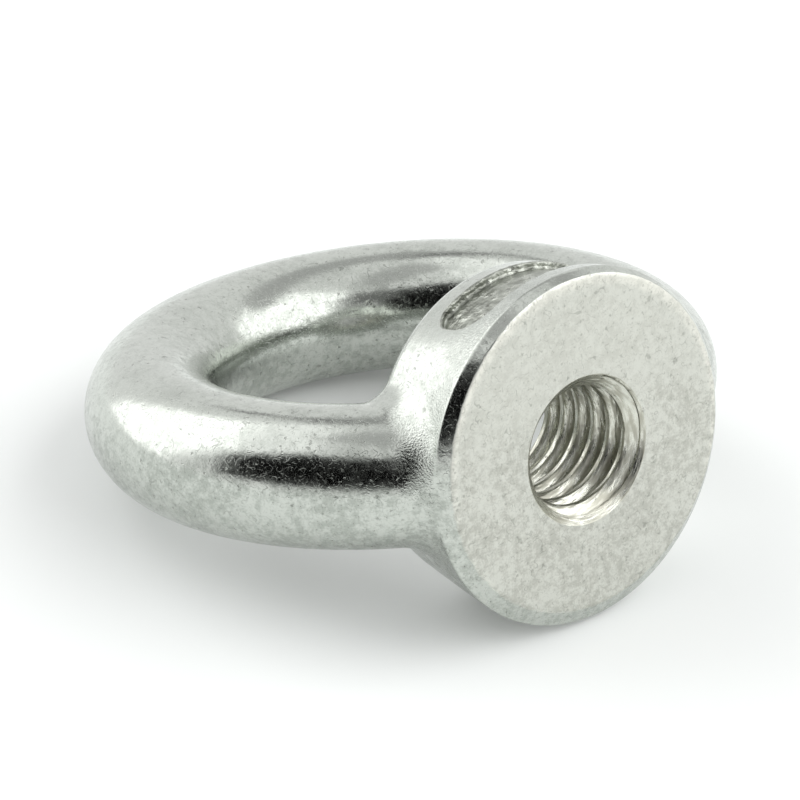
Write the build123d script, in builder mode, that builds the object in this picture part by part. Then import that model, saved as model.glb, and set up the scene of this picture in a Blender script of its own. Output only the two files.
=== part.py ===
from build123d import *
from math import sqrt
import os

# Lifting eye nut for an M8 stud, cast in stainless steel in the DIN 582 form.
#
# The origin is at the centre of the seating face. +Z runs along the bore from the seating
# face towards the ring, X runs across the ring, and the ring lies in the XZ plane.

os.makedirs("parts", exist_ok=True)

# Collar: the round foot that seats against the load
collar_diameter = 19.6
rim_radius = 0.45  # rounding between the seating face and the side
draft_at_rim = 16.0  # lean of the side, in degrees, just above the rim
shoulder_setback = 1.0  # how far in from the rim the side meets the crown
shoulder_rounding = 1.2
crown_cover = 2.24  # how far the crown's middle stands proud of the ring's inside
crown_rise = 0.95  # how far the crown domes up from the shoulder

# Ring: a round bar bent to a circle
ring_outer_diameter = 35.8
ring_inner_diameter = 20.4
arm_setback = 1.22  # how far inside the rim the ring's outline meets it
root_share = 1 / 6  # fillet at the arms' roots, as a share of the collar beside them

# Bore: tapped M8, drawn at the crests of its thread
bore_diameter = 6.65
countersink_diameter = 8.25
countersink_angle = 90.0
countersink_lip = 0.15  # rounding between the countersink and the seating face

# Marking panel: a shallow recess in the front of the collar's side
panel_width = 11.0
panel_margin = 1.875  # collar left between the panel and the face or the shoulder
panel_corner_share = 0.4  # corner radius, as a share of the panel's height
panel_depth = 0.45
panel_edge_rounding = 0.15

collar_radius = collar_diameter / 2
bar_diameter = (ring_outer_diameter - ring_inner_diameter) / 2
ring_radius = (ring_outer_diameter - bar_diameter) / 2
root_blend = (collar_radius - bar_diameter / 2) * root_share
arm_reach = collar_radius - arm_setback
ring_centre_height = rim_radius + sqrt((ring_outer_diameter / 2) ** 2 - arm_reach**2)
EYE_CENTRE = (0, 0, ring_centre_height)
crown_height = ring_centre_height - ring_inner_diameter / 2 + crown_cover
shoulder_height = crown_height - crown_rise
panel_height = shoulder_height - 2 * panel_margin


def collar_profile(inset):
    """Draw half of the collar's section, pulled in by inset on its side."""
    rim_centre = (collar_radius - inset - rim_radius, rim_radius)
    shoulder = (collar_radius - inset - shoulder_setback, shoulder_height)
    crown_middle = (shoulder[0] / 2, crown_height - crown_rise / 4)
    with BuildLine() as outline:
        face = Line((0, 0), (rim_centre[0], 0))
        rim = CenterArc(rim_centre, rim_radius, -90, 90 + draft_at_rim)
        side = TangentArc(rim @ 1, shoulder, tangent=rim % 1)
        crown = ThreePointArc(side @ 1, crown_middle, (0, crown_height))
        Line(crown @ 1, face @ 0)
    return outline.line


# The panel's cutter is a rounded prism with the collar's own form, pulled in, taken out of
# it, so that the panel's floor follows the curve of the collar's side.
with BuildPart() as panel_cutter:
    with BuildSketch(Plane.XZ):
        with Locations((0, shoulder_height / 2)):
            RectangleRounded(panel_width, panel_height, panel_height * panel_corner_share)
    extrude(amount=collar_radius)
    with BuildSketch(Plane.YZ):
        add(collar_profile(panel_depth))
        make_face()
    revolve(axis=Axis.Z, mode=Mode.SUBTRACT)

with BuildPart() as eye_nut:
    # Ring, cut off level with the rim so that nothing of it reaches below the collar
    with BuildSketch(Plane.XY.offset(ring_centre_height)):
        with Locations((ring_radius, 0)):
            Circle(bar_diameter / 2)
    revolve(axis=Axis(EYE_CENTRE, (0, 1, 0)))
    split(bisect_by=Plane.XY.offset(rim_radius), keep=Keep.TOP)

    # Collar, with its drafted side and domed crown
    with BuildSketch(Plane.YZ):
        add(collar_profile(0))
        make_face()
        fillet(vertices().group_by(Axis.Y)[-2], shoulder_rounding)
    revolve(axis=Axis.Z)

    # Roots of the two arms, where the ring and the collar cross
    fillet(edges(Select.NEW), root_blend)

    # Bore, from a countersunk mouth in the seating face up into the eye
    with Locations(Plane(origin=(0, 0, 0), z_dir=(0, 0, -1))):
        CounterSinkHole(
            radius=bore_diameter / 2,
            counter_sink_radius=countersink_diameter / 2,
            counter_sink_angle=countersink_angle,
            depth=ring_centre_height,
        )

    mouth = edges().filter_by(GeomType.CIRCLE).group_by(Axis.Z)[0].sort_by(SortBy.RADIUS)[0]
    fillet(mouth, countersink_lip)

    # Marking panel, with its edge broken
    add(panel_cutter.part, mode=Mode.SUBTRACT)
    fillet(edges(Select.NEW), panel_edge_rounding)

eye_nut.part.label = "eye_nut"
export_step(eye_nut.part, "parts/eye_nut.step")
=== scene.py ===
import math
from functools import partial, reduce

import bmesh
import bpy
import numpy as np
from mathutils import Matrix, Vector


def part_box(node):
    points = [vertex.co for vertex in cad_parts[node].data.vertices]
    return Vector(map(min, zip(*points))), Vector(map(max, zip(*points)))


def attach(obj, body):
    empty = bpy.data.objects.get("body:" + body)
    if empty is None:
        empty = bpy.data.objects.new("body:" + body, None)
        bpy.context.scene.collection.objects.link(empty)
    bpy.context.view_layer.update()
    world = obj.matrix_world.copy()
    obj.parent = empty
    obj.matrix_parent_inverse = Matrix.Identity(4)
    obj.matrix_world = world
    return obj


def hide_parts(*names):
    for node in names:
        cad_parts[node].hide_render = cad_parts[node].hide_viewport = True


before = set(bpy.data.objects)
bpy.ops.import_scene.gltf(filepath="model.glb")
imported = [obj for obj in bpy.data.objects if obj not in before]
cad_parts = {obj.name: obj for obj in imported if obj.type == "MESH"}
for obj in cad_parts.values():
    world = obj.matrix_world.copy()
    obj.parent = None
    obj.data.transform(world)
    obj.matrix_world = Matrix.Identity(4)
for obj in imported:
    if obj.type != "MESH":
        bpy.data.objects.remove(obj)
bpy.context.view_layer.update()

# A cast stainless steel lifting eye nut, lying on a pale studio floor.
#
# Shapes are worked out in millimetres, in the part's own frame: +Z runs along the bore from
# the seating face towards the ring, X runs across the ring, and the ring lies in the XZ plane.

MM = 0.001

# ---------------------------------------------------------------- sizes of the nut

high = np.array(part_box("eye_nut")[1]) / MM  # the nut's far corner, to size it by

RING_OUTER = high[0]
RING_INNER = 10.2
BAR = (RING_OUTER - RING_INNER) / 2
RING_RADIUS = RING_INNER + BAR
RING_CENTRE = high[2] - RING_OUTER

RING_FOOT = 0.45  # the ring is cut off level, this far above the seating face

COLLAR = high[1]
BEVEL = 0.62  # the width and height of the rim's worn bevel
BEVEL_FOOT = COLLAR - BEVEL  # where the seating face ends and the bevel starts
BEVEL_TOP = (COLLAR + 0.03, BEVEL)
BEVEL_FOOT_ROUND = 0.45
BEVEL_TOP_ROUND = 0.28
FACE_SHIFT = np.array([0.05, -0.3])  # the face sits off centre, so its bevel is uneven
RIM_LEAN = math.radians(8)  # lean of the collar's side, just above the bevel
SHOULDER = COLLAR - 1.0
SHOULDER_ROUND = 1.2
CROWN_INTO_EYE = 2.24  # how far the crown's middle stands up into the eye
CROWN_DOME = 0.95  # how much lower the crown's edge is than its middle
CROWN_HEIGHT = RING_CENTRE - RING_INNER + CROWN_INTO_EYE
SHOULDER_HEIGHT = CROWN_HEIGHT - CROWN_DOME
ROOT_BLEND = (COLLAR - BAR) / 6  # radius of the fillet where the arms meet the collar
ROOT_GROWTH = 0.2  # how much wider the fillet is on the arms' -Y sides
ROOT_GROWTH_REACH = 3.0  # how far towards -Y it has all of its growth
ROOT_FADE_START = 0.3  # the fillet dies out on its way down to the rim
ROOT_FADE_END = 0.95

THREAD_CREST = 3.325
THREAD_ROOT = 4.0
THREAD_PITCH = 1.25
THREAD_START = 0.94  # height of a crest on the wall towards +X
MOUTH = 4.125
COUNTERSINK = math.radians(45)  # between the bore's axis and the cone
MOUTH_ROUND = 0.09

PANEL_HALF_WIDTH = 5.5
PANEL_MARGIN = 1.875
PANEL_CORNER = 1.4
PANEL_DEPTH = 0.45
PANEL_EDGE_ROUND = 0.15
PANEL_FLOOR_ROUND = 0.2
PANEL_SPINE = 3.6  # half the length of the middle line that the floor's faces close on

CLEAR = 1.0  # how far a cutting tool stands out of the nut


# ---------------------------------------------------------------- curves and distances


def arc(centre, radius, start, end, steps):
    """Points on a circular arc, with the angles in radians."""
    turn = np.linspace(start, end, steps)
    return np.column_stack([centre[0] + radius * np.cos(turn), centre[1] + radius * np.sin(turn)])


def arc_between(centre, radius, start, end, steps):
    """Points on the shorter arc about a centre, from one point to another."""
    first, last = (math.atan2(y, x) for x, y in (start - centre, end - centre))
    swing = math.remainder(last - first, math.tau)
    return arc(centre, radius, first, first + swing, steps)


def arc_from_tangent(start, heading, end, steps):
    """Points on the arc that leaves start along heading and arrives at end."""
    start, end = np.array(start), np.array(end)
    side = np.array([heading[1], -heading[0]])
    chord = end - start
    bend = 2 * chord.dot(side) / chord.dot(chord)
    return arc_between(start + side / bend, 1 / abs(bend), start, end, steps)


def rounded_corner(before, corner, after, radius, steps):
    """Points that round a corner between two straight stretches."""
    before, corner, after = (np.array(p, float) for p in (before, corner, after))
    towards_before = (before - corner) / np.linalg.norm(before - corner)
    towards_after = (after - corner) / np.linalg.norm(after - corner)
    half = math.acos(towards_before.dot(towards_after)) / 2
    middle = towards_before + towards_after
    centre = corner + middle / np.linalg.norm(middle) * radius / math.sin(half)
    reach = radius / math.tan(half)
    start = corner + towards_before * reach
    end = corner + towards_after * reach
    return arc_between(centre, radius, start, end, steps)


def collar_section(detail=1):
    """Half of the collar's section as (distance from the axis, height), from face to crown."""
    heading = np.array([-math.sin(RIM_LEAN), math.cos(RIM_LEAN)])
    foot, top = np.array([BEVEL_FOOT, 0.0]), np.array(BEVEL_TOP)
    rim = np.vstack(
        [
            rounded_corner((0, 0), foot, top, BEVEL_FOOT_ROUND, 8 * detail),
            rounded_corner(foot, top, top + heading, BEVEL_TOP_ROUND, 8 * detail),
        ]
    )
    shoulder = np.array([SHOULDER, SHOULDER_HEIGHT])
    side = arc_from_tangent(rim[-1], heading, shoulder, 24 * detail)
    crown_top = np.array([0.0, CROWN_HEIGHT])
    crown_middle = np.array([shoulder[0] / 2, CROWN_HEIGHT - (CROWN_HEIGHT - SHOULDER_HEIGHT) / 4])
    span = np.linspace(0, 1, 20 * detail)[:, None]
    crown = (
        shoulder * (1 - span) * (1 - 2 * span)
        + crown_middle * 4 * span * (1 - span)
        + crown_top * span * (2 * span - 1)
    )
    turn = rounded_corner(side[-2], shoulder, crown[1], SHOULDER_ROUND, 12 * detail)
    least_gap = 0.05
    side = side[side[:, 1] < turn[0, 1] - least_gap]
    crown = crown[crown[:, 0] < turn[-1, 0] - least_gap]
    return np.vstack([rim, side[1:], turn, crown])


def resting_tilt(section):
    """The floor's lean against the bore, with the nut on its collar and its ring's far end."""
    least, most = 0.0, math.pi / 4
    for _ in range(40):
        tilt = (least + most) / 2
        collar = (section @ (math.cos(tilt), math.sin(tilt))).max()
        ring = (RING_CENTRE + RING_RADIUS) * math.sin(tilt) + BAR
        least, most = (tilt, most) if ring < collar else (least, tilt)
    return tilt


def ring_distance(points):
    """Distance from the surface of the ring's bar, less than zero inside it."""
    across = np.hypot(points[:, 0], points[:, 2] - RING_CENTRE) - RING_RADIUS
    return np.hypot(across, points[:, 1]) - BAR


def collar_distance(points, section):
    """Distance from the surface of the collar, less than zero inside it."""
    here = np.column_stack([np.hypot(points[:, 0], points[:, 1]), points[:, 2]])
    outline = np.vstack([[0, 0], section])
    start, step = outline[:-1], np.diff(outline, axis=0)
    distance = np.empty(len(here))
    batch = 4000  # points at a time, to spare memory
    for first in range(0, len(here), batch):
        block = here[first : first + batch, None]
        along = ((block - start) * step).sum(2) / (step**2).sum(1)
        gap = block - start - np.clip(along, 0, 1)[..., None] * step
        length = np.hypot(gap[..., 0], gap[..., 1])
        nearest = length.argmin(1)
        row = np.arange(len(nearest))
        side = gap[row, nearest, 0] * step[nearest, 1] - gap[row, nearest, 1] * step[nearest, 0]
        distance[first : first + batch] = length[row, nearest] * np.sign(side)
    return distance


def eased(share):
    """A smooth climb from 0 to 1."""
    share = np.clip(share, 0, 1)
    return share * share * (3 - 2 * share)


def face_shift(points):
    """How far the seating face's offset moves each point; it dies out up the bevel."""
    return (1 - eased(points[:, 2] / BEVEL_TOP[1]))[:, None] * FACE_SHIFT


def root_fillet(points):
    """The fillet's radius: widest on the -Y side, and dying out just above the rim."""
    wider = 1 + ROOT_GROWTH * eased(-points[:, 1] / ROOT_GROWTH_REACH)
    rise = (points[:, 2] - ROOT_FADE_START) / (ROOT_FADE_END - ROOT_FADE_START)
    return ROOT_BLEND * wider * eased(rise)


def body_distance(points, section):
    """Distance from the ring and collar joined by a fillet that dies out at the rim."""
    ring = np.maximum(ring_distance(points), RING_FOOT - points[:, 2])
    centred = points.copy()
    centred[:, :2] -= face_shift(points)
    collar = collar_distance(centred, section)
    fillet = root_fillet(points)
    inside = np.hypot(np.maximum(fillet - ring, 0), np.maximum(fillet - collar, 0))
    return np.maximum(fillet, np.minimum(ring, collar)) - inside


def body_slope(points, section, reach=0.01):
    """The way that the body's distance grows fastest, at each point."""
    slope = np.empty_like(points)
    for axis in range(3):
        step = np.zeros(3)
        step[axis] = reach
        ahead = body_distance(points + step, section)
        slope[:, axis] = (ahead - body_distance(points - step, section)) / (2 * reach)
    return slope


# ---------------------------------------------------------------- building the nut


def new_object(name, points, faces, material=None):
    """An object from points in millimetres, with points that meet made one."""
    mesh = bpy.data.meshes.new(name)
    mesh.from_pydata((np.asarray(points) * MM).tolist(), [], faces)
    grid = bmesh.new()
    grid.from_mesh(mesh)
    bmesh.ops.remove_doubles(grid, verts=grid.verts, dist=0.0005 * MM)
    bmesh.ops.recalc_face_normals(grid, faces=grid.faces)
    grid.to_mesh(mesh)
    grid.free()
    made = bpy.data.objects.new(name, mesh)
    bpy.context.scene.collection.objects.link(made)
    if material:
        mesh.materials.append(material)
    return made


def revolved(name, section, steps, material):
    """A solid turned round the Z axis from a section that starts and ends on the axis."""
    turn = np.arange(steps) * math.tau / steps
    middle = section[1:-1]
    points = [[[0, 0, section[0, 1]], [0, 0, section[-1, 1]]]]
    for radius, height in middle:
        level = np.full(steps, height)
        points.append(np.column_stack([radius * np.cos(turn), radius * np.sin(turn), level]))
    faces = []
    last = 2 + (len(middle) - 1) * steps
    for i in range(steps):
        j = (i + 1) % steps
        faces.append((0, 2 + j, 2 + i))
        faces.append((1, last + i, last + j))
        for row in range(len(middle) - 1):
            a = 2 + row * steps
            faces.append((a + i, a + j, a + steps + j, a + steps + i))
    return new_object(name, np.vstack(points), faces, material)


def make_ring():
    """The ring's bar, flattened where it would reach below the rim."""
    around, along = 90, 300
    u, v = np.meshgrid(np.arange(along) * math.tau / along, np.arange(around) * math.tau / around)
    reach = RING_RADIUS + BAR * np.cos(v)
    points = np.stack([reach * np.cos(u), BAR * np.sin(v), RING_CENTRE + reach * np.sin(u)], 2)
    faces = []
    for row in range(around):
        for step in range(along):
            here, there = row * along, (row + 1) % around * along
            on = (step + 1) % along
            faces.append((here + step, there + step, there + on, here + on))
    ring = new_object("ring", points.reshape(-1, 3), faces)
    foot = RING_FOOT + 0.02  # a little up, so that it doesn't lie along the rim's own corner
    for vertex in ring.data.vertices:
        vertex.co.z = max(vertex.co.z, foot * MM)
    return ring


def cut_or_join(target, tool, operation):
    """Join a solid to the target, or take it out of it, and drop the tool."""
    step = target.modifiers.new(operation, "BOOLEAN")
    step.object = tool
    step.operation = operation
    step.solver = "MANIFOLD"
    step.material_mode = "TRANSFER"
    settled = target.evaluated_get(bpy.context.evaluated_depsgraph_get())
    mesh = bpy.data.meshes.new_from_object(settled)
    target.modifiers.clear()
    target.data = mesh
    bpy.data.objects.remove(tool)


def make_body(section, material):
    """The ring and the collar, joined and blended at the arms' roots."""
    body = revolved("cast_eye_nut", np.vstack([[0, 0], section]), steps=300, material=material)
    cut_or_join(body, make_ring(), "UNION")
    mesh = body.data
    points = np.empty(len(mesh.vertices) * 3)
    mesh.vertices.foreach_get("co", points)
    points = points.reshape(-1, 3) / MM
    fine = collar_section(detail=4)
    reach = ROOT_BLEND * (1 + ROOT_GROWTH) * 1.1  # a little past the widest fillet
    near = np.abs(ring_distance(points)) < reach
    near &= np.abs(collar_distance(points, fine)) < reach
    near &= points[:, 2] > RING_FOOT
    moving = points[near]
    for _ in range(6):
        slope = body_slope(moving, fine)
        steepness = np.maximum((slope**2).sum(1), 0.2)  # keeps each step short
        moving = moving - slope * (body_distance(moving, fine) / steepness)[:, None]
    points[near] = moving
    points[:, :2] += np.where(near[:, None], 0, face_shift(points))
    mesh.vertices.foreach_set("co", (points * MM).ravel())
    mesh.update()
    return body


def panel_outline(grow, steps=14):
    """The panel's rounded rectangle as (x, z), grown outwards by a margin."""
    half_height = (SHOULDER_HEIGHT - 2 * PANEL_MARGIN) / 2
    middle = SHOULDER_HEIGHT / 2
    corner = PANEL_CORNER + grow
    points = []
    for quarter, (side, up) in enumerate(((1, 1), (-1, 1), (-1, -1), (1, -1))):
        centre = (
            side * (PANEL_HALF_WIDTH - PANEL_CORNER),
            middle + up * (half_height - PANEL_CORNER),
        )
        start = quarter * math.pi / 2
        points.append(arc(centre, corner, start, start + math.pi / 2, steps))
    outline = np.vstack(points)
    # Long sides get points between the corners, so that they follow the collar's curve
    filled = []
    for here, there in zip(outline, np.roll(outline, -1, axis=0)):
        pieces = max(1, round(np.linalg.norm(there - here) / 0.25))
        filled.append(here + (there - here) * np.arange(pieces)[:, None] / pieces)
    return np.vstack(filled)


def onto_side(flat, section, depth):
    """Lay (x, z) points onto the collar's front, at a depth below its surface."""
    radius = np.interp(flat[:, 1], section[:, 1], section[:, 0]) - depth
    return np.column_stack([flat[:, 0], -np.sqrt(radius**2 - flat[:, 0] ** 2), flat[:, 1]])


def make_panel_tool(section, material):
    """The solid that leaves the recessed panel, with its floor following the collar's side."""
    side = section[: np.argmax(section[:, 1] > SHOULDER_HEIGHT - 0.2)]
    # Rows of (how far outside the outline, how deep), from the floor to the open air
    foot_centre = (-PANEL_FLOOR_ROUND, PANEL_DEPTH - PANEL_FLOOR_ROUND)
    foot = arc(foot_centre, PANEL_FLOOR_ROUND, math.pi / 2, 0, 6)
    lip_centre = (PANEL_EDGE_ROUND, PANEL_EDGE_ROUND)
    lip = arc(lip_centre, PANEL_EDGE_ROUND, math.pi, 1.5 * math.pi, 6)
    rows = np.vstack([foot, lip, [PANEL_EDGE_ROUND, -CLEAR]])
    walls = [onto_side(panel_outline(grow), side, depth) for grow, depth in rows]
    # The floor itself, as rings that shrink towards the panel's middle line
    inner = panel_outline(-PANEL_FLOOR_ROUND)
    count = len(inner)
    along = np.clip(inner[:, 0], -PANEL_SPINE, PANEL_SPINE)
    spine = np.column_stack([along, np.full(count, SHOULDER_HEIGHT / 2)])
    shares = np.linspace(0, 1, 9)[:-1]
    floor = [onto_side(spine + (inner - spine) * share, side, PANEL_DEPTH) for share in shares]
    rings = floor + walls
    points = np.vstack(rings)
    faces = []
    last = (len(rings) - 1) * count
    for here in range(0, last, count):
        for i in range(count):
            j = (i + 1) % count
            faces.append((here + i, here + j, here + count + j, here + count + i))
    faces.append(tuple(range(last, last + count)))
    return new_object("panel_tool", points, faces, material)


def make_thread_tool(material):
    """The solid that leaves the tapped bore: a right-hand thread, with rounded roots."""
    around, foot, top = 120, -CLEAR, CROWN_HEIGHT + CLEAR
    # Half a pitch of the thread, as (share of the pitch past a crest's middle, share of the depth)
    half = [(0, 0), (0.09, 0.0), (0.14, 0.04), (0.27, 0.42), (0.4, 0.86), (0.45, 0.98), (0.5, 1.0)]
    turn = half + [(1 - share, depth) for share, depth in half[-2:0:-1]]
    count = len(turn)
    shares, depths = np.array(turn).T
    first = math.floor((foot - THREAD_START) / THREAD_PITCH) - 1
    turns = math.ceil((top - foot) / THREAD_PITCH) + 3
    passed = (first + np.arange(turns))[:, None] + shares
    heights = passed.ravel() * THREAD_PITCH + THREAD_START
    radii = np.tile(THREAD_CREST + depths * (THREAD_ROOT - THREAD_CREST), turns)
    points = []
    for step in range(around):
        angle = step * math.tau / around
        level = heights + THREAD_PITCH * step / around
        clear = np.where((level > foot) & (level < top), radii, THREAD_CREST)
        level = np.clip(level, foot, top)
        points.append(np.column_stack([clear * math.cos(angle), clear * math.sin(angle), level]))
    points.append([[0, 0, foot], [0, 0, top]])
    rows = len(heights)
    foot_centre, top_centre = around * rows, around * rows + 1
    faces = []
    for step in range(around):
        here, there = step * rows, (step + 1) % around * rows
        seam = count if step == around - 1 else 0  # a full turn climbs by one pitch
        for row in range(rows - 1 - seam):
            low_there = there + row + seam
            faces.append((here + row, low_there, low_there + 1, here + row + 1))
        faces.append((foot_centre, there, here))
        faces.append((top_centre, here + rows - 1, there + rows - 1))
    return new_object("thread_tool", np.vstack(points), faces, material)


def make_countersink_tool(material):
    """The cone at the bore's mouth, with its edge rolled over onto the seating face."""
    open_radius = MOUTH + MOUTH_ROUND * math.tan(math.pi / 4 - COUNTERSINK / 2)
    lip_centre = (open_radius, MOUTH_ROUND - 0.003)  # dips through the face, for a clean cut
    lip = arc(lip_centre, MOUTH_ROUND, -math.pi / 2, COUNTERSINK - math.pi, 6)
    apex = lip[-1, 1] + lip[-1, 0] / math.tan(COUNTERSINK)
    section = np.vstack([[0, -CLEAR], [open_radius, -CLEAR], lip, [0, apex]])
    return revolved("countersink_tool", section, steps=180, material=material)


def smooth_cast_surfaces(mesh, cast_slot):
    """Give the cast surfaces the exact slope of the body's form, so that they reflect smoothly."""
    section = collar_section(detail=4)
    points = np.empty(len(mesh.vertices) * 3)
    mesh.vertices.foreach_get("co", points)
    points = points.reshape(-1, 3) / MM
    slopes = body_slope(points, section)
    slopes /= np.maximum(np.linalg.norm(slopes, axis=1), 1e-6)[:, None]
    mesh.set_sharp_from_angle(angle=math.radians(35))
    corners = np.empty(len(mesh.loops) * 3)
    mesh.corner_normals.foreach_get("vector", corners)
    corners = corners.reshape(-1, 3)
    vertex_of = np.empty(len(mesh.loops), int)
    mesh.loops.foreach_get("vertex_index", vertex_of)
    slots = np.empty(len(mesh.polygons), int)
    sizes = np.empty(len(mesh.polygons), int)
    mesh.polygons.foreach_get("material_index", slots)
    mesh.polygons.foreach_get("loop_total", sizes)
    cast = np.repeat(slots == cast_slot, sizes)
    corners[cast] = slopes[vertex_of[cast]]
    mesh.normals_split_custom_set(corners.tolist())


# ---------------------------------------------------------------- finishes


def feed(tree, socket, term):
    """Give a socket another node's output, or a plain value."""
    if isinstance(term, bpy.types.NodeSocket):
        tree.links.new(term, socket)
    else:
        socket.default_value = term


def calc(tree, operation, *terms):
    """The result of one sum; each term is a number or another node's output."""
    step = tree.nodes.new("ShaderNodeMath")
    step.operation = operation
    for socket, term in zip(step.inputs, terms):
        feed(tree, socket, term)
    return step.outputs["Value"]


def calc_place(tree, operation, place, term):
    """A place that is moved or stretched; SCALE takes a number, and the others a vector."""
    step = tree.nodes.new("ShaderNodeVectorMath")
    step.operation = operation
    feed(tree, step.inputs[0], place)
    feed(tree, step.inputs["Scale"] if operation == "SCALE" else step.inputs[1], term)
    return step.outputs["Vector"]


def ramp(tree, value, low_end, high_end, start=0.0, end=1.0):
    """A smooth climb from start to end as the value goes from low_end to high_end."""
    step = tree.nodes.new("ShaderNodeMapRange")
    step.interpolation_type = "SMOOTHSTEP"
    for label, term in (
        ("Value", value),
        ("From Min", low_end),
        ("From Max", high_end),
        ("To Min", start),
        ("To Max", end),
    ):
        feed(tree, step.inputs[label], term)
    return step.outputs["Result"]


def new_effect(name, output, **inputs):
    """A node group whose inputs are a place in millimetres and the numbers named."""
    group = bpy.data.node_groups.new(name, "ShaderNodeTree")
    sockets = group.interface
    sockets.new_socket(name="Place", in_out="INPUT", socket_type="NodeSocketVector")
    for label, usual in inputs.items():
        socket = sockets.new_socket(name=label, in_out="INPUT", socket_type="NodeSocketFloat")
        socket.default_value = usual
    sockets.new_socket(name=output, in_out="OUTPUT", socket_type="NodeSocketFloat")
    given = group.nodes.new("NodeGroupInput").outputs
    result = group.nodes.new("NodeGroupOutput").inputs[output]
    return group, given, result


def noise(tree, place, width, detail=2.0, roughness=0.5):
    """Cloudy noise whose lumps are about as wide as the width, from 0 to 1."""
    step = tree.nodes.new("ShaderNodeTexNoise")
    step.inputs["Detail"].default_value = detail
    step.inputs["Roughness"].default_value = roughness
    feed(tree, step.inputs["Vector"], place)
    feed(tree, step.inputs["Scale"], calc(tree, "DIVIDE", 1.0, width))
    return step.outputs["Fac"]


def make_grain_effect():
    """Lumps and hollows of a tumbled or cast skin."""
    group, given, height = new_effect("metal_grain", "Height", Width=0.5, Depth=0.01)
    lumps = noise(group, given["Place"], given["Width"], detail=2.5, roughness=0.55)
    level = calc(group, "SUBTRACT", lumps, 0.5)
    feed(group, height, calc(group, "MULTIPLY", level, given["Depth"]))
    return group


def make_pit_effect():
    """Small round pits, scattered so that only a share of the places has one."""
    group, given, mask = new_effect("casting_pits", "Mask", Spacing=1.0, Width=0.2, Share=0.5)
    # The edges wander by up to half of the width, so that no pit is quite round
    wander = group.nodes.new("ShaderNodeTexNoise")
    feed(group, wander.inputs["Vector"], given["Place"])
    feed(group, wander.inputs["Scale"], calc(group, "DIVIDE", 1.6, given["Width"]))
    level = calc_place(group, "SUBTRACT", wander.outputs["Color"], (0.5, 0.5, 0.5))
    shift = calc_place(group, "SCALE", level, given["Width"])
    cells = group.nodes.new("ShaderNodeTexVoronoi")
    feed(group, cells.inputs["Vector"], calc_place(group, "ADD", given["Place"], shift))
    feed(group, cells.inputs["Scale"], calc(group, "DIVIDE", 1.0, given["Spacing"]))
    rim = calc(group, "DIVIDE", calc(group, "MULTIPLY", given["Width"], 0.5), given["Spacing"])
    foot = calc(group, "MULTIPLY", rim, 0.5)
    hole = ramp(group, cells.outputs["Distance"], foot, rim, 1.0, 0.0)
    pick = group.nodes.new("ShaderNodeSeparateColor")
    feed(group, pick.inputs["Color"], cells.outputs["Color"])
    kept = calc(group, "LESS_THAN", pick.outputs["Red"], given["Share"])
    feed(group, mask, calc(group, "MULTIPLY", hole, kept))
    return group


def make_nick_effect():
    """Short curved nicks, left by the other parts in the tumbler."""
    group, given, mask = new_effect("tumbling_nicks", "Mask", Spacing=0.8, Width=0.1, Share=0.5)
    # Lines run where one noise passes through its middle value, and a second noise breaks them
    field = noise(group, given["Place"], given["Spacing"], detail=1.0)
    away = calc(group, "ABSOLUTE", calc(group, "SUBTRACT", field, 0.5))
    line = ramp(group, away, 0.0, calc(group, "MULTIPLY", given["Width"], 0.5), 1.0, 0.0)
    elsewhere = calc_place(group, "ADD", given["Place"], (31.7, 12.1, 47.3))
    length = calc(group, "MULTIPLY", given["Spacing"], 0.45)
    breaks = noise(group, elsewhere, length, detail=0.0)
    level = calc(group, "SUBTRACT", 0.72, calc(group, "MULTIPLY", given["Share"], 0.4))
    kept = ramp(group, breaks, level, calc(group, "ADD", level, 0.06))
    feed(group, mask, calc(group, "MULTIPLY", line, kept))
    return group


GRAIN = make_grain_effect()
PITS = make_pit_effect()
NICKS = make_nick_effect()


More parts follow.
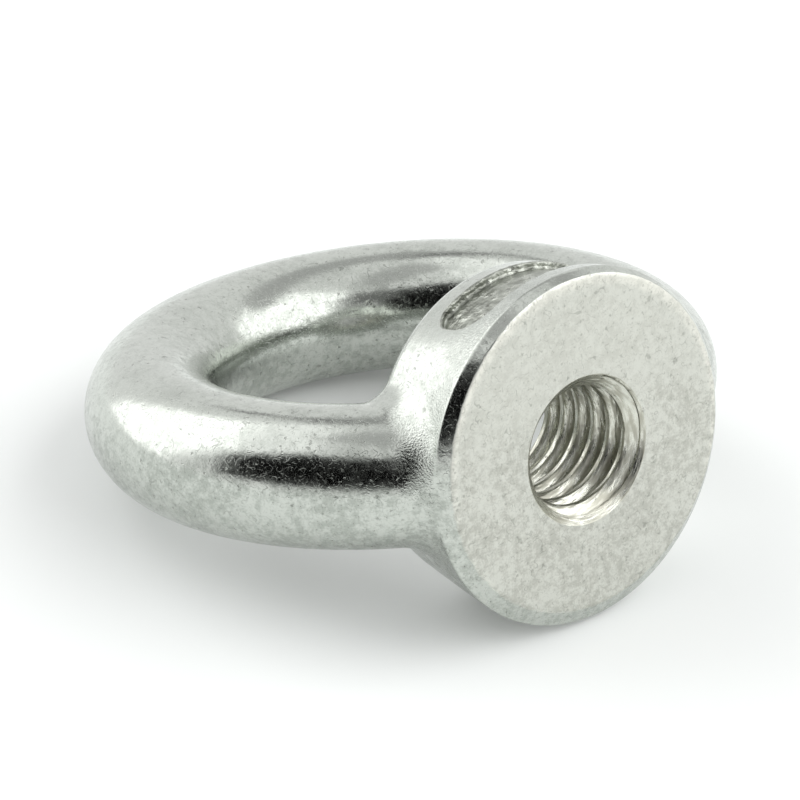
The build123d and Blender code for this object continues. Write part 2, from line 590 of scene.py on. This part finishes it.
class Finish:
    """A metal finish in the making: its nodes and where it stands, in millimetres."""

    def __init__(self, name):
        self.material = bpy.data.materials.new(name)
        self.material.use_nodes = True
        self.tree = self.material.node_tree
        self.shader = self.tree.nodes["Principled BSDF"]
        self.shader.inputs["Metallic"].default_value = 1
        where = self.tree.nodes.new("ShaderNodeTexCoord")
        self.place = calc_place(self.tree, "SCALE", where.outputs["Object"], 1 / MM)

    def calc(self, operation, *terms):
        return calc(self.tree, operation, *terms)

    def ramp(self, value, low_end, high_end, start=0.0, end=1.0):
        return ramp(self.tree, value, low_end, high_end, start, end)

    def effect(self, group, output, place=None, **values):
        """Place an effect's group with its own values, and give the output asked for."""
        step = self.tree.nodes.new("ShaderNodeGroup")
        step.node_tree = group
        feed(self.tree, step.inputs["Place"], place or self.place)
        for label, value in values.items():
            step.inputs[label].default_value = value
        return step.outputs[output]

    def grain(self, width, depth, place=None):
        return self.effect(GRAIN, "Height", place=place, Width=width, Depth=depth)

    def pits(self, spacing, width, share):
        return self.effect(PITS, "Mask", Spacing=spacing, Width=width, Share=share)

    def nicks(self, spacing, width, share):
        return self.effect(NICKS, "Mask", Spacing=spacing, Width=width, Share=share)

    def total(self, *terms):
        return reduce(partial(self.calc, "ADD"), terms)

    def product(self, *terms):
        return reduce(partial(self.calc, "MULTIPLY"), terms)

    def blend(self, mask, first, second):
        """One number where the mask is 0 and another where it is 1."""
        step = self.tree.nodes.new("ShaderNodeMix")
        for label, term in (("Factor", mask), ("A", first), ("B", second)):
            feed(self.tree, step.inputs[label], term)
        return step.outputs["Result"]

    def tint(self, mask, first, second):
        """One colour where the mask is 0 and another where it is 1."""
        step = self.tree.nodes.new("ShaderNodeMix")
        step.data_type = "RGBA"
        sockets = {socket.identifier: socket for socket in step.inputs}
        feed(self.tree, sockets["Factor_Float"], mask)
        for label, term in (("A_Color", first), ("B_Color", second)):
            colour = (*term, 1) if isinstance(term, tuple) else term
            feed(self.tree, sockets[label], colour)
        return step.outputs["Result"]

    def finish(self, colour, roughness, height):
        """Join the colour, the roughness and the height in millimetres to the shader."""
        bump = self.tree.nodes.new("ShaderNodeBump")
        bump.inputs["Distance"].default_value = MM
        feed(self.tree, bump.inputs["Height"], height)
        feed(self.tree, self.shader.inputs["Base Color"], colour)
        feed(self.tree, self.shader.inputs["Roughness"], roughness)
        feed(self.tree, self.shader.inputs["Normal"], bump.outputs["Normal"])
        return self.material


def make_skin():
    """The tumbled cast skin, matt and mottled on the seating face and raw at the arms' roots."""
    metal = Finish("cast_stainless")
    split = metal.tree.nodes.new("ShaderNodeSeparateXYZ")
    feed(metal.tree, split.inputs["Vector"], metal.place)
    x, y, z = split.outputs
    radius = metal.calc("SQRT", metal.total(metal.calc("POWER", x, 2), metal.calc("POWER", y, 2)))

    # Where the finish changes: the seating face, its worn edge and the arms' roots. Painted light
    # and shade: the -Y side, which faces up, is lighter and the rest darker
    uneven = metal.product(metal.grain(0.5, 1.0), 0.5)
    faced = metal.ramp(metal.total(z, metal.product(uneven, 0.3)), 0.02, 0.1, 1.0, 0.0)
    worn = metal.product(metal.ramp(metal.total(radius, uneven), 8.75, 9.25), faced)
    root = metal.product(
        metal.ramp(z, 2.5, 5.5, 1.0, 0.0),
        metal.ramp(z, 0.6, 0.9),
        metal.ramp(radius, 9.4, 9.8),
        metal.ramp(radius, 10.1, 11.2, 1.0, 0.0),
    )
    # Painted shade: the dark mottle is at full strength except on the -Y side, which faces up and
    # is painted lighter
    painted_side_shade = metal.ramp(y, -3.4, -0.8, 0.45, 1.0)

    short_nicks = metal.product(metal.nicks(0.33, 0.05, 0.6), 0.8)
    nicks = metal.calc("MAXIMUM", metal.nicks(0.9, 0.03, 0.55), short_nicks)
    pits = metal.calc("MAXIMUM", metal.pits(0.5, 0.2, 0.4), metal.pits(1.5, 0.42, 0.35))
    height = metal.total(
        metal.grain(1.6, 0.022),
        metal.grain(0.35, 0.006),
        metal.grain(0.11, 0.0024),
        metal.product(metal.grain(0.11, 0.04), root),
        metal.total(metal.product(nicks, -0.003), metal.product(pits, -0.008)),
    )

    bright = metal.tint(faced, (0.56, 0.585, 0.545), (0.63, 0.64, 0.59))
    bright = metal.tint(worn, bright, (0.75, 0.75, 0.69))
    dull = metal.tint(faced, (0.37, 0.395, 0.36), (0.48, 0.485, 0.44))
    mottle = metal.total(metal.grain(0.13, 1.0), metal.grain(0.5, 1.5), metal.grain(3.0, 1.0))
    shade = metal.ramp(mottle, -0.35, 0.3, 1.0, 0.0)
    # Painted shade: the nicks and pits are dents in the bump, and their dark colour is the shade
    # in them
    marks = metal.total(metal.product(nicks, 0.4), metal.product(pits, 0.35))
    marks = metal.product(marks, metal.blend(faced, 1.0, 0.75))
    colour = metal.tint(metal.product(shade, metal.product(painted_side_shade, 0.85)), bright, dull)
    colour = metal.tint(marks, colour, (0.15, 0.16, 0.14))
    polish = metal.blend(faced, 0.15, 0.5)
    roughness = metal.total(polish, metal.product(shade, 0.08), metal.product(marks, 0.3))
    return metal.finish(colour, roughness, height)


def make_tapped():
    """The thread and its countersink: bright, with fine tool marks running round the bore, and a
    painted reflection: an olive tint for the warm light that the bore's walls throw on each other.
    """
    metal = Finish("tapped_stainless")
    along = calc_place(metal.tree, "MULTIPLY", metal.place, (0.12, 0.12, 1.0))
    specks = metal.pits(0.5, 0.2, 0.4)
    streak = metal.ramp(metal.grain(0.12, 1.0, place=along), -0.15, 0.15)
    # Painted reflection: the streaks are tool marks, and their olive tint stands in for the warm
    # colour of the bore's reflections in itself
    colour = metal.tint(streak, (0.44, 0.435, 0.37), (0.67, 0.68, 0.61))
    # Painted shade: the specks are pits in the bump, and their dark colour is the shade in them
    colour = metal.tint(metal.product(specks, 0.6), colour, (0.2, 0.19, 0.16))
    roughness = metal.blend(streak, 0.36, 0.22)
    tool_marks = metal.grain(0.08, 0.03, place=along)
    height = metal.total(tool_marks, metal.grain(0.5, 0.012), metal.product(specks, -0.01))
    return metal.finish(colour, roughness, height)


def make_recess_casting_and_shade():
    """The recessed panel's bare casting, lumpy and dull where nothing has rubbed it, with painted
    shade: darker than the skin, and darker still in its hollows and pits.
    """
    metal = Finish("recess_casting_and_shade")
    pits = metal.pits(0.7, 0.35, 0.5)
    # Painted shade: the recess is coloured darker than the skin, and darker still where its lumps
    # are low and in its pits
    hollow = metal.ramp(metal.grain(0.7, 1.0), -0.15, 0.15, 1.0, 0.0)
    colour = metal.tint(metal.product(hollow, 0.8), (0.5, 0.52, 0.47), (0.24, 0.25, 0.22))
    colour = metal.tint(metal.product(pits, 0.7), colour, (0.14, 0.14, 0.12))
    roughness = metal.blend(hollow, 0.25, 0.42)
    height = metal.total(metal.grain(0.7, 0.3), metal.grain(0.2, 0.05), metal.product(pits, -0.05))
    return metal.finish(colour, roughness, height)


cast = make_skin()
tapped = make_tapped()
recess_casting_and_shade = make_recess_casting_and_shade()

# ---------------------------------------------------------------- the nut

section = collar_section()
nut = make_body(section, cast)
for tool in (
    make_panel_tool(section, recess_casting_and_shade),
    make_thread_tool(tapped),
    make_countersink_tool(tapped),
):
    cut_or_join(nut, tool, "DIFFERENCE")
for face in nut.data.polygons:
    face.use_smooth = True
smooth_cast_surfaces(nut.data, nut.data.materials.find(cast.name))
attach(nut, "root")
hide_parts("eye_nut")

# ---------------------------------------------------------------- the studio

# Places here are in metres. The floor's plane lies just below the collar's shoulder and the
# ring's far end
TILT = resting_tilt(section)
FLOOR_GAP = 0.01 * MM
FLOOR_DROP = ((RING_CENTRE + RING_RADIUS) * math.sin(TILT) + BAR) * MM + FLOOR_GAP
FLOOR_SIZE = 1.0
UP = Vector((0, -math.cos(TILT), -math.sin(TILT)))
ACROSS = Vector((1, 0, 0))
ALONG = UP.cross(ACROSS)

CAMERA_BEARING = math.radians(-129.614)
CAMERA_RISE = math.radians(29.599)
CAMERA_ROLL = math.radians(2.829)
CAMERA_DISTANCE = 175.07 * MM
CAMERA_LENS = 139.03
AIM = Vector((-0.328, 0.867, 15.845)) * MM

CARD_DISTANCE = 0.95
SOFTBOX_DISTANCE = 1.2
BACK_DISTANCE = 1.25
BLACK = 0.0


def towards(bearing, rise):
    """A direction from its bearing, counted from the camera's, and its rise above the floor."""
    turn = CAMERA_BEARING + bearing
    flat = ACROSS * math.cos(turn) + ALONG * math.sin(turn)
    return flat * math.cos(rise) + UP * math.sin(rise)


def facing(place, target, roll=0.0):
    """The matrix that stands a thing at a place, with -Z towards the target and Y upwards."""
    back = (place - target).normalized()
    side = UP.cross(back).normalized()
    turned = Matrix.Rotation(roll, 3, back)
    axes = Matrix((turned @ side, turned @ back.cross(side), back)).transposed()
    return Matrix.Translation(place) @ axes.to_4x4()


def half_span(angle, distance):
    """Half the size of what fills an angle, in degrees, at a distance."""
    return distance * math.tan(math.radians(angle / 2))


def stand(name, data, bearing, rise, distance):
    """Put a lamp or a card round the nut, unseen by the camera."""
    stood = bpy.data.objects.new(name, data)
    bpy.context.scene.collection.objects.link(stood)
    place = towards(math.radians(bearing), math.radians(rise)) * distance
    stood.matrix_world = facing(place, AIM)
    stood.visible_camera = False
    return stood


def add_softbox(name, bearing, rise, width, height, brightness):
    """A rectangular lamp."""
    lamp = bpy.data.lights.new(name, "AREA")
    lamp.shape = "RECTANGLE"
    lamp.size = 2 * half_span(width, SOFTBOX_DISTANCE)
    lamp.size_y = 2 * half_span(height, SOFTBOX_DISTANCE)
    lamp.energy = brightness * math.pi * lamp.size * lamp.size_y
    stand(name, lamp, bearing, rise, SOFTBOX_DISTANCE)


def add_card(name, bearing, rise, width, height, glow, distance=CARD_DISTANCE, corner_cut=0.0):
    """A card seen only in the metal; the cut is the share lost at its upper corner towards -X."""
    x, y = half_span(width, distance), half_span(height, distance)
    kept = 1 - corner_cut
    corners = [(-x, -y, 0), (x, -y, 0), (x, y, 0), (-x * kept, y, 0), (-x, y * kept, 0)]
    mesh = bpy.data.meshes.new(name)
    mesh.from_pydata(corners, [], [(0, 1, 2, 3, 4)])
    paint = bpy.data.materials.new(name)
    paint.use_nodes = True
    tree = paint.node_tree
    shine = tree.nodes.new("ShaderNodeEmission")
    shine.inputs["Strength"].default_value = glow
    feed(tree, tree.nodes["Material Output"].inputs["Surface"], shine.outputs["Emission"])
    mesh.materials.append(paint)
    card = stand(name, mesh, bearing, rise, distance)
    card.visible_diffuse = False
    card.visible_shadow = False


def seen_rays(tree):
    """1 for the rays that see the background: the camera's, mirrored ones, and through glass."""
    path = tree.nodes.new("ShaderNodeLightPath")
    seen = calc(tree, "MAXIMUM", path.outputs["Is Camera Ray"], path.outputs["Is Glossy Ray"])
    return calc(tree, "MAXIMUM", seen, path.outputs["Is Transmission Ray"])


def lay_floor(colour, glow_share):
    """A sheet of white paper that glows a little where it is seen, and is clear from below."""
    half = FLOOR_SIZE / 2
    mesh = bpy.data.meshes.new("floor")
    corners = [
        ACROSS * a * half + ALONG * b * half - UP * FLOOR_DROP
        for a, b in ((-1, -1), (1, -1), (1, 1), (-1, 1))
    ]
    mesh.from_pydata(corners, [], [(0, 1, 2, 3)])
    floor = bpy.data.objects.new("floor", mesh)
    bpy.context.scene.collection.objects.link(floor)
    paper = bpy.data.materials.new("floor_paper")
    paper.use_nodes = True
    tree = paper.node_tree
    shader = tree.nodes["Principled BSDF"]
    shader.inputs["Roughness"].default_value = 1
    shader.inputs["Specular IOR Level"].default_value = 0
    shader.inputs["Base Color"].default_value = (*colour, 1)
    glow = tree.nodes.new("ShaderNodeEmission")
    lit = tree.nodes.new("ShaderNodeMixShader")
    feed(tree, lit.inputs["Fac"], calc(tree, "MULTIPLY", seen_rays(tree), glow_share))
    feed(tree, lit.inputs[1], shader.outputs["BSDF"])
    feed(tree, lit.inputs[2], glow.outputs["Emission"])
    path = tree.nodes.new("ShaderNodeLightPath")
    side = tree.nodes.new("ShaderNodeNewGeometry")
    clear = tree.nodes.new("ShaderNodeBsdfTransparent")
    below = calc(tree, "MULTIPLY", side.outputs["Backfacing"], path.outputs["Is Camera Ray"])
    sheet = tree.nodes.new("ShaderNodeMixShader")
    feed(tree, sheet.inputs["Fac"], below)
    feed(tree, sheet.inputs[1], lit.outputs["Shader"])
    feed(tree, sheet.inputs[2], clear.outputs["BSDF"])
    feed(tree, tree.nodes["Material Output"].inputs["Surface"], sheet.outputs["Shader"])
    mesh.materials.append(paper)


def light_world(fill):
    """A white backdrop all round, which gives only a part of the light."""
    world = bpy.data.worlds.new("studio")
    world.use_nodes = True
    tree = world.node_tree
    background = tree.nodes["Background"]
    background.inputs["Color"].default_value = (1, 1, 1, 1)
    rest = calc(tree, "MULTIPLY", seen_rays(tree), 1 - fill)
    feed(tree, background.inputs["Strength"], calc(tree, "ADD", fill, rest))
    bpy.context.scene.world = world


def add_camera():
    """The camera, at the angle that shows the face, the recess and the eye together."""
    data = bpy.data.cameras.new("camera")
    data.lens = CAMERA_LENS
    data.sensor_width = 36
    data.clip_start = 0.005
    camera = bpy.data.objects.new("camera", data)
    bpy.context.scene.collection.objects.link(camera)
    place = AIM + towards(0, CAMERA_RISE) * CAMERA_DISTANCE
    camera.matrix_world = facing(place, AIM, CAMERA_ROLL)
    bpy.context.scene.camera = camera


lay_floor(colour=(0.92, 0.94, 0.93), glow_share=0.1)
light_world(fill=0.55)
# A bearing, a rise, a width and a height, all in degrees as seen from the nut, and a brightness
add_softbox("left_softbox", -110, 31, 50, 68, 1.4)
add_softbox("left_softbox_middle", -112, 24, 42, 48, 0.75)
add_softbox("right_softbox", 78, 41, 78, 50, 2.1)
add_card("left_softbox_back", -110, 31, 50, 68, BLACK, distance=BACK_DISTANCE)
add_card("right_softbox_back", 78, 41, 78, 50, BLACK, distance=BACK_DISTANCE)
add_card("softbox_edge", -157, 44, 2.5, 34, BLACK)
add_card("ceiling_card", -60, 80, 40, 18, 0.6)
add_card("black_card", -31, 31, 80, 47, BLACK, corner_cut=0.5)
add_card("dark_card", 10, 50, 28, 20, 0.2, distance=0.9)
add_card("grey_card", 24, 25, 28, 60, 0.6)
add_card("back_card", 160, 56, 62, 18, 0.55)
add_camera()
bpy.context.scene.view_settings.view_transform = "Standard"
